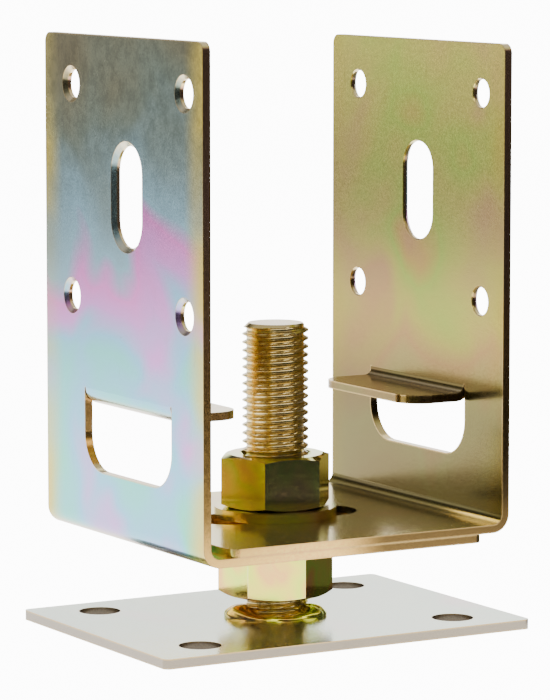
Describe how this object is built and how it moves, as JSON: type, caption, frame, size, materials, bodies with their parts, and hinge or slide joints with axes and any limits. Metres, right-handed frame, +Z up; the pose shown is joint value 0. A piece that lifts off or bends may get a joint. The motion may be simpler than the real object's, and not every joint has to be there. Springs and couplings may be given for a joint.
{
  "type": "adjustable timber post base",
  "caption": "Adjustable steel post base: two folded brackets with seat tabs, clamped by nuts on a threaded rod welded to a drilled base plate.",
  "frame": {"origin": "centre of the base plate's underside, on the threaded rod's axis", "axes": "+Z up along the rod; +X across the bracket from the left wall to the right wall; +Y into the bracket's depth, so the front is at -Y"},
  "size_m": [0.125, 0.098, 0.1785],
  "materials": {
    "base_plate_zinc": "iridescent yellow zinc plating, satin",
    "bracket_zinc": "iridescent yellow zinc plating, satin",
    "rod_zinc": "iridescent yellow zinc plating, satin",
    "nut_zinc": "iridescent yellow zinc plating, satin",
    "washer_zinc": "iridescent yellow zinc plating, satin",
    "weld_zinc": "plated weld, rippled"
  },
  "bodies": {
    "base": {"base_plate": "base_plate_zinc", "threaded_rod": "rod_zinc", "weld_bead": "weld_zinc"},
    "saddle": {"lower_washer": "washer_zinc", "upper_washer": "washer_zinc"},
    "lower_nut": {"lower_nut": "nut_zinc"},
    "upper_nut": {"upper_nut": "nut_zinc"},
    "left_bracket": {"left_bracket": "bracket_zinc"},
    "right_bracket": {"right_bracket": "bracket_zinc"}
  },
  "joints": [
    {"name": "height_adjust", "type": "slide", "parent": "base", "child": "saddle", "axis": [0, 0, 1], "range_m": [-0.002, 0.037]},
    {"name": "lower_nut_turn", "type": "hinge", "parent": "saddle", "child": "lower_nut", "pos_m": [0, 0, 0.0175], "axis": [0, 0, 1], "range_deg": [-290, 5330]},
    {"name": "upper_nut_turn", "type": "hinge", "parent": "saddle", "child": "upper_nut", "pos_m": [0, 0, 0.0445], "axis": [0, 0, 1], "range_deg": [-290, 5330]},
    {"name": "left_bracket_slide", "type": "slide", "parent": "saddle", "child": "left_bracket", "axis": [-1, 0, 0], "range_m": [-0.0015, 0.0165]},
    {"name": "right_bracket_slide", "type": "slide", "parent": "saddle", "child": "right_bracket", "axis": [1, 0, 0], "range_m": [-0.0015, 0.0165]}
  ],
  "couplings": [
    {"joint": "lower_nut_turn", "follows": "height_adjust", "rad_per_m": 2513.3},
    {"joint": "upper_nut_turn", "follows": "height_adjust", "rad_per_m": 2513.3}
  ]
}
